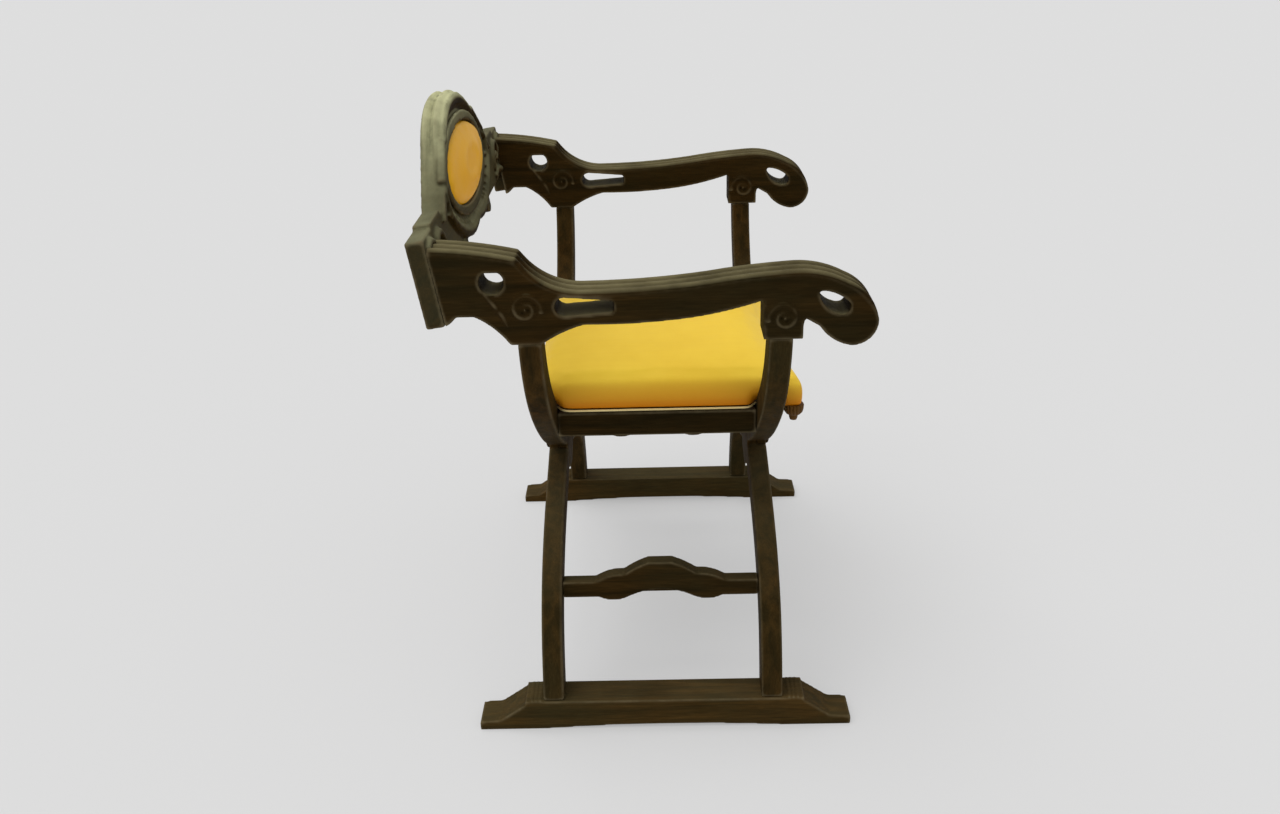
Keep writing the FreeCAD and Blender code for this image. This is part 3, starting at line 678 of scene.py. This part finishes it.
class CHAIR_OT_stage(bpy.types.Operator):
    """Add the camera, the pale floor and the soft studio light"""

    bl_idname = "chair.stage"
    bl_label = "Stage"

    def execute(self, context):
        scene = context.scene
        scene.view_settings.view_transform = "Standard"
        camera = bpy.data.objects.new("Camera", bpy.data.cameras.new("Camera"))
        scene.collection.objects.link(camera)
        camera.data.lens = CAMERA_LENS
        camera.data.sensor_width = 36.0
        camera.location = CAMERA_PLACE
        camera.rotation_euler = [math.radians(angle) for angle in CAMERA_TURN]
        scene.camera = camera

        bm = bmesh.new()
        bmesh.ops.create_grid(bm, x_segments=8, y_segments=8, size=40.0)
        floor = from_bmesh("Floor", bm, self.floor_material())

        for name, place, strength, spread in LIGHTS:
            lamp = bpy.data.lights.new(name, "SUN")
            lamp.energy = strength
            lamp.angle = math.radians(spread)
            light = bpy.data.objects.new(name, lamp)
            light.rotation_euler = (-Vector(place)).to_track_quat("-Z", "Y").to_euler()
            scene.collection.objects.link(light)
        self.light_world(scene)
        return {"FINISHED"}

    def floor_material(self):
        """A matt floor whose shadow is thinned by a plain tone that only the camera sees."""
        material, tree, shader = new_material("Pale floor")
        backdrop = (*colours().backdrop, 1.0)
        tree.feed(shader, {"Base Color": backdrop, "Roughness": 0.9, "Specular IOR Level": 0.0})
        plain = tree.add("Emission", {"Color": backdrop})
        share = tree.maths("MULTIPLY", seen_directly(tree), 0.5)
        mixed_surface(tree, share, shader.outputs["BSDF"], plain.outputs["Emission"], "Material Output")
        return material

    def light_world(self, scene):
        """A soft white room that shows itself in the backdrop's tone."""
        world = bpy.data.worlds.new("Soft room")
        scene.world = world
        world.use_nodes = True
        tree = Tree(world.node_tree)
        room = tree.feed(tree.nodes["Background"], {"Color": (1.0, 1.0, 1.0, 1.0), "Strength": ROOM_LIGHT})
        seen = tree.add("Background", {"Color": (*colours().backdrop, 1.0)})
        mixed_surface(tree, seen_directly(tree), room.outputs["Background"], seen.outputs["Background"],
                      "World Output")


# Wooden frame


# Reeds across each runner's top, between its hollowed end and its leg: how far forward or back
RUNNER_REEDS = (0.167, 0.1725, 0.178)
REED_RADIUS = 0.0024


class CHAIR_OT_legs(bpy.types.Operator):
    """Add the legs, the seat rails, the stretchers and the runners"""

    bl_idname = "chair.legs"
    bl_label = "Legs, rails and stretchers"

    def execute(self, context):
        for side in ("right", "left"):
            for end in ("front", "rear"):
                carved(f"{side}_{end}_leg", f"{side}_{end}_leg_wood", wood("legs"), soften=9)
            carved(f"{side}_seat_rail", f"{side}_seat_rail_wood", wood("rails"))
            carved(f"{side}_stretcher", f"{side}_stretcher_wood", wood("stretchers"))
            low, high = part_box(f"{side}_runner")
            inner, outer = low.x + 0.001, high.x - 0.001
            beads = [([at(across, way * place, high.z - 0.0006) for across in (inner, outer)], REED_RADIUS)
                     for way in (-1, 1) for place in RUNNER_REEDS]
            reeds = swept(f"{side}_runner_reeds", beads, wood("runners"))
            carved(f"{side}_runner", f"{side}_runner_wood", wood("runners"), 3, ornament=[reeds])
        return {"FINISHED"}


def open_top(bm, least):
    """The faces of an arm's top, without those inside its piercings."""
    tree = BVHTree.FromBMesh(bm)
    found = []
    for face in bm.faces:
        if abs(face.normal.x) < 0.2 and face.normal.z > least:
            start = face.calc_center_median() + Vector((0, 0, 0.0005))
            if tree.ray_cast(start, Vector((0, 0, 1)), 0.2)[0] is None:
                found.append(face)
    return found


def reeded(bm):
    """Work an arm's top into three soft ridges that fade out towards its nose."""
    ridges, cuts, depth, least, full = 3, 36, 0.0056, 0.25, 0.60
    xs = [vert.co.x for vert in bm.verts]
    low, high = min(xs), max(xs)
    faces = open_top(bm, least)
    for i in range(1, cuts):
        parts = set(faces)
        for face in faces:
            parts.update(face.edges)
            parts.update(face.verts)
        place = (low + (high - low) * i / cuts, 0, 0)
        cut = bmesh.ops.bisect_plane(bm, geom=list(parts), plane_co=place, plane_no=(1, 0, 0), dist=1e-6)
        faces = [part for part in cut["geom"] if isinstance(part, bmesh.types.BMFace)]
    top = set(faces)
    moves = {}
    for vert in {vert for face in faces for vert in face.verts}:
        normal = sum((face.normal for face in vert.link_faces if face in top), Vector()).normalized()
        fade = min(1.0, max(0.0, (normal.z - least) / (full - least)))
        wave = abs(math.sin(math.pi * ridges * (vert.co.x - low) / (high - low))) ** 0.7
        moves[vert] = normal * (depth * (wave - 1) * fade)
    for vert, move in moves.items():
        vert.co += move
    bm.normal_update()


# Volutes on the arms' faces: (forward, up) place of the eye, angle that they start at and which way
# they turn
VOLUTES = (((-0.150, 0.600), 200, -1), ((0.146, 0.583), -20, 1))
VOLUTE_TURNS = 1.6
VOLUTE_REACH = (0.0045, 0.0185)
VOLUTE_EYE = 0.0042
# The leaf by the rear volute, as (forward, up) places
REAR_LEAF = ((-0.196, 0.618), (-0.186, 0.607), (-0.176, 0.592), (-0.171, 0.578))


def spiral(centre, start, way):
    """Points of a volute on an arm's face, as (forward, up) pairs from its eye outwards."""
    steps = int(26 * VOLUTE_TURNS)
    small, large = VOLUTE_REACH
    line = []
    for i in range(steps + 1):
        share = i / steps
        angle = math.radians(start) + way * 2 * math.pi * VOLUTE_TURNS * share
        reach = small + (large - small) * share ** 1.25
        line.append((centre[0] + reach * math.cos(angle), centre[1] + reach * math.sin(angle)))
    return line


def fading(count, radius, ease=14):
    """A bead's radii, thinner towards both of its ends."""
    return [radius * max(0.2, min(1.0, i / ease, (count - 1 - i) / ease)) for i in range(count)]


def swelling(count, thin, fat):
    """A bead's radii, thickest in its middle."""
    return [thin + (fat - thin) * math.sin(math.pi * min(1.0, i / (count - 1))) for i in range(count)]


class CHAIR_OT_arms(bpy.types.Operator):
    """Add the arms with their reeded tops and carved volutes"""

    bl_idname = "chair.arms"
    bl_label = "Arms"

    def execute(self, context):
        for side in ("right", "left"):
            low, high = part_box(f"{side}_arm")
            beads = []
            for across in (low.x, high.x):
                for centre, start, way in VOLUTES:
                    line = [at(across, *place) for place in spiral(centre, start, way)]
                    beads.append((line, [0.0030 + 0.0014 * i / len(line) for i in range(len(line))]))
                    eye = [at(across, centre[0] + shift, centre[1]) for shift in (-0.001, 0.001)]
                    beads.append((eye, VOLUTE_EYE))
                leaf = rounded_path([at(across, *place) for place in REAR_LEAF], 5)
                beads.append((leaf, swelling(len(leaf), 0.0012, 0.0040)))
            finish = wood("arms")
            carving = swept(f"{side}_arm_carving", beads, finish)
            carved(f"{side}_arm", f"{side}_arm_wood", finish, 3, reeded, [carving])
        return {"FINISHED"}


class BoardPlane:
    """The board's leaned front face, for carving that follows it."""

    def __init__(self):
        bm = node_copy("back_board")
        front = [f for f in bm.faces if f.normal.y < -0.9]
        facing = max(front, key=lambda f: f.calc_area())
        self.out = facing.normal.copy()
        self.up = Vector((0, self.out.z, -self.out.y))
        self.base = facing.calc_center_median()
        self.base.x = 0
        self.tree = BVHTree.FromBMesh(bm)
        bm.free()
        low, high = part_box("oval_pad")
        self.centre = self.point(0, (low.z + high.z) / 2, 0)
        low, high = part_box("oval_ring")
        self.wide, self.tall = high.x, (high.z - low.z) / 2

    def point(self, across, height, proud):
        """A place on the face at a real height, a little proud of it."""
        rise = (height - self.base.z) / self.up.z
        return self.base + Vector((across, 0, 0)) + self.up * rise + self.out * proud

    def way(self, turn):
        """A direction along the face, by its turn from the sitter's left."""
        return Vector((math.cos(turn), 0, 0)) + self.up * math.sin(turn)

    def past_ring(self, turn, times):
        """How far from the pad's middle the oval ring ends in a direction, a number of times over."""
        return times / math.hypot(math.cos(turn) / self.wide, math.sin(turn) / self.tall)

    def edge(self, turn, depth, inside=False):
        """Where the rim's outer wall is in a direction from the pad's middle, or its inner wall."""
        way = self.way(turn)
        start = self.centre + self.out * depth
        if inside:
            return self.tree.ray_cast(start + way * self.past_ring(turn, 1.02), way, 0.3)[0]
        return self.tree.ray_cast(start + way * 0.6, -way, 0.6)[0]


# Leaf scrolls of the back board's wings: (across, up) places, mirrored for the other wing
WING_LEAVES = (
    ((0.236, 0.634), (0.240, 0.655), (0.256, 0.670), (0.275, 0.668), (0.281, 0.652), (0.270, 0.643)),
    ((0.331, 0.668), (0.314, 0.674), (0.297, 0.667), (0.290, 0.652), (0.297, 0.640)),
    ((0.232, 0.624), (0.250, 0.630), (0.270, 0.627), (0.292, 0.624), (0.316, 0.630), (0.330, 0.643)),
    ((0.252, 0.650), (0.259, 0.655), (0.266, 0.653)))
RIM_PROUD = 0.0025
RIM_RADIUS, GROOVE_RADIUS = 0.0062, 0.0020
RIM_STEPS, MOULDING_STEPS, GADROONS = 160, 100, 14
# Mouldings round the arch's outer edge: how far behind the face, and how thick
EDGE_MOULDINGS = ((-0.0055, 0.0044), (-0.0195, 0.0048))


class CHAIR_OT_back(bpy.types.Operator):
    """Add the back board with its beaded rim and leaf scrolls, the oval ring and the panel"""

    bl_idname = "chair.back"
    bl_label = "Back board"

    def execute(self, context):
        plane = BoardPlane()
        carving, rim, groove = [], [], []
        for i in range(RIM_STEPS):
            turn = 2 * math.pi * i / RIM_STEPS
            outer, inner = plane.edge(turn, RIM_PROUD), plane.edge(turn, RIM_PROUD, inside=True)
            if outer is not None and inner is not None and abs(outer.x) < 0.20:
                rim.append((outer + inner) / 2 - plane.out * 0.0012)
                groove.append(inner - plane.way(turn) * 0.003 - plane.out * 0.0026)
        finish = wood("board")
        beads = swept("board_rim", ((rim, RIM_RADIUS), (groove, GROOVE_RADIUS)), finish, 14, closed=True)
        for depth, radius in EDGE_MOULDINGS:
            line = []
            for i in range(MOULDING_STEPS):
                place = plane.edge(math.radians(-1 + 182 * i / (MOULDING_STEPS - 1)), depth)
                if place is not None and abs(place.x) < 0.25:
                    line.append(place)
            carving.append((line, fading(len(line), radius)))
        half = GADROONS // 2
        for k in range(GADROONS):
            turn = math.radians(188 + 6 * k if k < half else 352 - 6 * (k - half))
            tip = plane.edge(turn, RIM_PROUD, inside=True)
            if tip is not None:
                foot = plane.centre + plane.way(turn) * plane.past_ring(turn, 1.05)
                line = [foot.lerp(tip, share / 8) for share in range(8)]
                carving.append((line, swelling(8, 0.0014, 0.0034)))
        for side in (-1, 1):
            for leaf in WING_LEAVES:
                line = rounded_path([plane.point(side * x, z, 0.0010) for x, z in leaf], 6)
                carving.append((line, [0.0020 + 0.0034 * math.sin(math.pi * (0.15 + 0.8 * i / len(line)))
                                       for i in range(len(line))]))
        scrolls = swept("board_scrolls", carving, finish)
        carved("back_board", "back_board_wood", finish, 4, ornament=[beads, scrolls])
        carved("oval_ring", "oval_ring_wood", finish, 6)
        painted("back_panel", wood("board"))
        painted("panel_screws", metal(*IRON))
        return {"FINISHED"}


# The rosettes' profile: radius, and how far out as a share of their depth
ROSETTE = ((0.0, 0.0), (0.026, 0.0), (0.026, 0.30), (0.0250, 0.46), (0.0215, 0.56), (0.0165, 0.58),
           (0.0135, 0.46), (0.0125, 0.44), (0.0120, 0.74), (0.0100, 0.92), (0.0060, 0.99), (0.0, 1.0))


class CHAIR_OT_fittings(bpy.types.Operator):
    """Add the rosettes, the pivot rod, the pegs and the dome-headed nails"""

    bl_idname = "chair.fittings"
    bl_label = "Rosettes, pegs and nails"

    def execute(self, context):
        painted("pivot_rod", metal(*IRON))
        for side in ("right", "left"):
            painted(f"{side}_back_peg", wood("trim"))
            painted(f"{side}_sling_tacks", metal(*BRASS))
        for end, way in (("front", -1), ("rear", 1)):
            low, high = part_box(f"{end}_rosette")
            centre = (low + high) / 2
            centre.y = high.y if way < 0 else low.y
            profile = [(radius, (high.y - low.y) * share) for radius, share in ROSETTE]
            rosette = turned(f"{end}_rosette_wood", profile, centre, Vector((0, way, 0)),
                             wood("trim"), petals=8, depth=0.0035)
            settle(rosette, "hub", f"{end}_rosette")
        return {"FINISHED"}


# Soft pieces


# Heights up the legs, and how far out their inner faces are there
LEG_ROOM = ((0.388, 0.403, 0.419, 0.446, 0.474, 0.517), (0.142, 0.168, 0.190, 0.219, 0.248, 0.280))
# How the covers' cloth behaves while the filling swells it
CLOTH = {"quality": 6, "mass": 0.25, "tension_stiffness": 18, "compression_stiffness": 18,
         "shear_stiffness": 6, "bending_stiffness": 0.2, "shrink_min": -0.025, "use_pressure": True}
CLOTH_FRAMES = 20
# The share of its sliding along the surface that a simulated point keeps
SLIDE = 0.15


def stuffed(piece, cap, keep_clear):
    """Swell a closed cover with cloth simulation, no point further than the cap."""
    mesh = piece.data
    start, normals = rows(mesh.vertices, "co"), rows(mesh.vertices, "normal")
    cloth = piece.modifiers.new("Cloth", "CLOTH")
    for name, value in CLOTH.items():
        setattr(cloth.settings, name, value)
    cloth.settings.uniform_pressure_force = sizes().pressure
    cloth.settings.effector_weights.gravity = 0.0
    cloth.point_cache.frame_start = 1
    cloth.point_cache.frame_end = CLOTH_FRAMES
    scene = bpy.context.scene
    for number in range(1, CLOTH_FRAMES + 1):
        scene.frame_set(number)
    graph = bpy.context.evaluated_depsgraph_get()
    swollen = piece.evaluated_get(graph).to_mesh()
    move = rows(swollen.vertices, "co") - start
    piece.evaluated_get(graph).to_mesh_clear()
    piece.modifiers.clear()
    scene.frame_set(1)
    out = (move * normals).sum(axis=1, keepdims=True)
    move = normals * np.clip(out, 0.0, cap) + (move - normals * out) * SLIDE
    length = np.linalg.norm(move, axis=1, keepdims=True)
    move *= np.minimum(1.0, cap / np.maximum(length, 1e-9))
    mesh.vertices.foreach_set("co", keep_clear(start + move).ravel())
    mesh.update()


# The cushion's cover: stations from rear to front, each with how far it reaches across, its lower
# and upper edge and the crown between its sides
CUSHION_STATIONS = ((-0.157, 0.180, 0.4150, 0.4530, 0.008), (-0.151, 0.194, 0.4070, 0.4585, 0.012),
                    (-0.120, 0.1995, 0.4042, 0.4615, 0.015), (0.120, 0.1995, 0.4042, 0.4615, 0.015),
                    (0.148, 0.2010, 0.4050, 0.4600, 0.014), (0.168, 0.2060, 0.4045, 0.4555, 0.010),
                    (0.185, 0.2080, 0.4050, 0.4510, 0.006), (0.1915, 0.2050, 0.4090, 0.4460, 0.003))
# How far the cushion's front edge is hollowed between its corners
CUSHION_DIP = 0.029
# How boxy the cover's rings are, above the middle and below it
BOXINESS = {True: 4.5, False: 12.0}


def cushion_ring(station, steps):
    """The places round the cover at one station."""
    forward, half, low, high, crown = station
    middle, tall = (low + high) / 2, (high - low) / 2
    dip = CUSHION_DIP * min(1.0, max(0.0, (forward - 0.02) / 0.15))
    ring = []
    for i in range(steps):
        turn = 2 * math.pi * i / steps
        c, s = math.cos(turn), math.sin(turn)
        power = 2 / BOXINESS[s > 0]
        share = math.copysign(abs(c) ** power, c)
        up = middle + tall * math.copysign(abs(s) ** power, s)
        if s > 0:
            up += crown * (1 - share * share)
        ring.append(at(half * share, forward - dip * (1 - abs(share) ** 2.2), up))
    return ring


def cushion_cover():
    """The cushion before it is stuffed: boxy rings, closed at the rear and the front."""
    bm = bmesh.new()
    steps, parts = 96, 6
    stations = [CUSHION_STATIONS[0]]
    for low, high in zip(CUSHION_STATIONS, CUSHION_STATIONS[1:]):
        for k in range(1, parts + 1):
            stations.append(tuple(a + (b - a) * k / parts for a, b in zip(low, high)))
    rings = [[bm.verts.new(place) for place in cushion_ring(station, steps)] for station in stations]
    skinned(bm, rings)
    for ring in (rings[0], rings[-1]):
        for i in range(1, steps // 2):
            corners = (ring[i], ring[i + 1], ring[steps - i - 1], ring[steps - i])
            bm.faces.new(list(dict.fromkeys(corners)))
        bm.faces.new((ring[0], ring[1], ring[steps - 1]))
    bmesh.ops.recalc_face_normals(bm, faces=bm.faces)
    return bm


# Where the front and the rear legs stand, from rear to front
LEG_SPANS = ((0.1285, 0.1595), (-0.164, -0.133))
LEG_EASE = 0.005
# The cushion's underside over the rails and the heads of the nails: from where to where it rests,
# how far out, and its height
RESTING = (-0.14, 0.129, 0.1965, 0.4076)


def clear_of_frame(places):
    """Push the cushion's points off the legs, the sling and the nails."""
    result = places.copy()
    forward = MIDDLE_Y - result[:, 1]
    for low, high in LEG_SPANS:
        inside = (forward > low - LEG_EASE) & (forward < high + LEG_EASE)
        for i in np.nonzero(inside)[0]:
            gap = max(low - forward[i], forward[i] - high, 0.0) / LEG_EASE
            limit = float(np.interp(result[i, 2], *LEG_ROOM)) - 0.0015 + gap * 0.05
            if abs(result[i, 0]) > limit and (forward[i] < high or high < 0):
                result[i, 0] = math.copysign(limit, result[i, 0])
    rear, front, reach, height = RESTING
    resting = (forward < front) & (forward > rear) & (np.abs(result[:, 0]) < reach)
    result[resting, 2] = np.maximum(result[resting, 2], height)
    return result


# The piping: its height, how far above it the cover's wall is looked for, its radius and how proud
# of the wall it is
PIPING_HEIGHT, PIPING_LIFT, PIPING_RADIUS, PIPING_PROUD = 0.4066, 0.0040, 0.0015, 0.0004
PIPING_STEPS = 360


def piping_line(cover):
    """Places round the foot of a cover's wall, found by looking in from outside."""
    bm = bmesh.new()
    bm.from_mesh(cover.data)
    tree = BVHTree.FromBMesh(bm)
    bm.free()
    line = []
    for i in range(PIPING_STEPS):
        turn = 2 * math.pi * i / PIPING_STEPS
        way = Vector((math.cos(turn), math.sin(turn), 0))
        hit = tree.ray_cast(at(0, 0, PIPING_HEIGHT + PIPING_LIFT) + way * 0.5, -way, 0.5)[0]
        if hit is not None:
            line.append(hit + way * PIPING_PROUD - Vector((0, 0, PIPING_LIFT)))
    return line


def folding_with_cushion(piece):
    """Let a piece ride at the hub, with a mesh of its own."""
    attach(piece, "hub")
    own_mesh(piece)


# The gathered tab under each front corner: its foot, and (radius, height) pairs from there up
CORNER_TAB = (0.1955, 0.1785, 0.3880)
TAB_PROFILE = ((0.0, 0.0), (0.0046, 0.0), (0.0056, 0.0030), (0.0062, 0.0066), (0.0100, 0.0090),
               (0.0124, 0.0122), (0.0134, 0.0160), (0.0137, 0.0205), (0.0125, 0.0232), (0.0, 0.0232))


class CHAIR_OT_cushion(bpy.types.Operator):
    """Add the stuffed seat cushion, its piping and the gathered tabs under its front corners"""

    bl_idname = "chair.cushion"
    bl_label = "Seat cushion"

    def execute(self, context):
        piece = from_bmesh("cushion", cushion_cover(), silk("Cushion silk", colours().silk))
        remeshed(piece, sizes().voxel)
        stuffed(piece, sizes().puff, clear_of_frame)
        softened(piece, 4)
        fine = piece.modifiers.new("Fine", "SUBSURF")
        fine.levels = fine.render_levels = 1
        applied(piece)
        smooth(piece, 180)
        folding_with_cushion(piece)
        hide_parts("seat_cushion")

        finish = silk("Piping silk", colours().piping, upright=True)
        cord = swept("cushion_piping", [(piping_line(piece), PIPING_RADIUS)], finish, 8, closed=True)
        folding_with_cushion(cord)
        across, forward, low = CORNER_TAB
        finish = silk("Tab silk", colours().trim, upright=True)
        for side, way in (("right", -1), ("left", 1)):
            foot = at(way * across, forward, low)
            tab = turned(f"{side}_corner_tab", TAB_PROFILE, foot, Vector((0, 0, 1)), finish,
                         petals=16, depth=0.0005)
            folding_with_cushion(tab)
        return {"FINISHED"}


PAD_CELL = 0.004
PAD_PUFF = 0.0035


class CHAIR_OT_pad(bpy.types.Operator):
    """Add the oval back pad"""

    bl_idname = "chair.pad"
    bl_label = "Back pad"

    def execute(self, context):
        finish = silk("Pad silk", colours().pad_silk, upright=True)
        piece = from_bmesh("back_pad", node_copy("oval_pad"), finish)
        remeshed(piece, PAD_CELL)
        plane = BoardPlane()
        start = rows(piece.data.vertices, "co")

        def in_its_hole(places):
            """Move only the points that stand proud of the board."""
            proud = (places - np.array(plane.base)) @ np.array(plane.out)
            return np.where(proud[:, None] < 0.001, start, places)

        stuffed(piece, PAD_PUFF, in_its_hole)
        softened(piece, 10)
        smooth(piece, 80)
        settle(piece, "backrest", "oval_pad")
        return {"FINISHED"}


# The sling hangs between two lines this far out, by this much in its middle
SLING_SPAN = 0.170
SLING_SAG = 0.005
SLING_THICKNESS = 0.0022


class CHAIR_OT_sling(bpy.types.Operator):
    """Add the leather sling in two halves that hang from the rails"""

    bl_idname = "chair.sling"
    bl_label = "Sling"

    def execute(self, context):
        low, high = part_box("seat_sling")
        wide, deep = 40, 30
        for side, body in (("right", "right_frame"), ("left", "left_frame")):
            way = -1 if side == "right" else 1
            bm = bmesh.new()
            grid = []
            for j in range(deep + 1):
                y = low.y + (high.y - low.y) * j / deep
                row = []
                for i in range(wide + 1):
                    x = way * high.x * i / wide
                    sag = SLING_SAG * max(0.0, 1 - (x / SLING_SPAN) ** 2)
                    row.append(bm.verts.new((x, y, low.z + 0.0003 - sag)))
                grid.append(row if way > 0 else row[::-1])
            skinned(bm, grid, closed=False)
            piece = from_bmesh(f"{side}_sling", bm, leather())
            thick = piece.modifiers.new("Thickness", "SOLIDIFY")
            thick.thickness = SLING_THICKNESS
            thick.offset = 1.0
            applied(piece)
            smooth(piece, 50)
            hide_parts("seat_sling")
            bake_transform(piece)
        return {"FINISHED"}


class CHAIR_PT_panel(bpy.types.Panel):
    """The chair's pieces, in the 3D view's sidebar"""

    bl_label = "Savonarola chair"
    bl_idname = "CHAIR_PT_panel"
    bl_space_type = "VIEW_3D"
    bl_region_type = "UI"
    bl_category = "Chair"

    def draw(self, context):
        column = self.layout.column()
        for operator in OPERATORS:
            column.operator(operator.bl_idname)
        for group in (colours(), sizes()):
            column.separator()
            for name in group.__annotations__:
                column.prop(group, name)


OPERATORS = (CHAIR_OT_stage, CHAIR_OT_legs, CHAIR_OT_arms, CHAIR_OT_back, CHAIR_OT_fittings,
             CHAIR_OT_cushion, CHAIR_OT_pad, CHAIR_OT_sling)
CLASSES = (ChairColours, ChairSizes, *OPERATORS, CHAIR_PT_panel)


def register():
    for item in CLASSES:
        bpy.utils.register_class(item)
    bpy.types.Scene.chair_colours = bpy.props.PointerProperty(type=ChairColours)
    bpy.types.Scene.chair_sizes = bpy.props.PointerProperty(type=ChairSizes)


def unregister():
    del bpy.types.Scene.chair_sizes
    del bpy.types.Scene.chair_colours
    for item in reversed(CLASSES):
        bpy.utils.unregister_class(item)


def main():
    register()
    for operator in OPERATORS:
        group, name = operator.bl_idname.split(".")
        getattr(getattr(bpy.ops, group), name)()


if __name__ == "__main__":
    main()
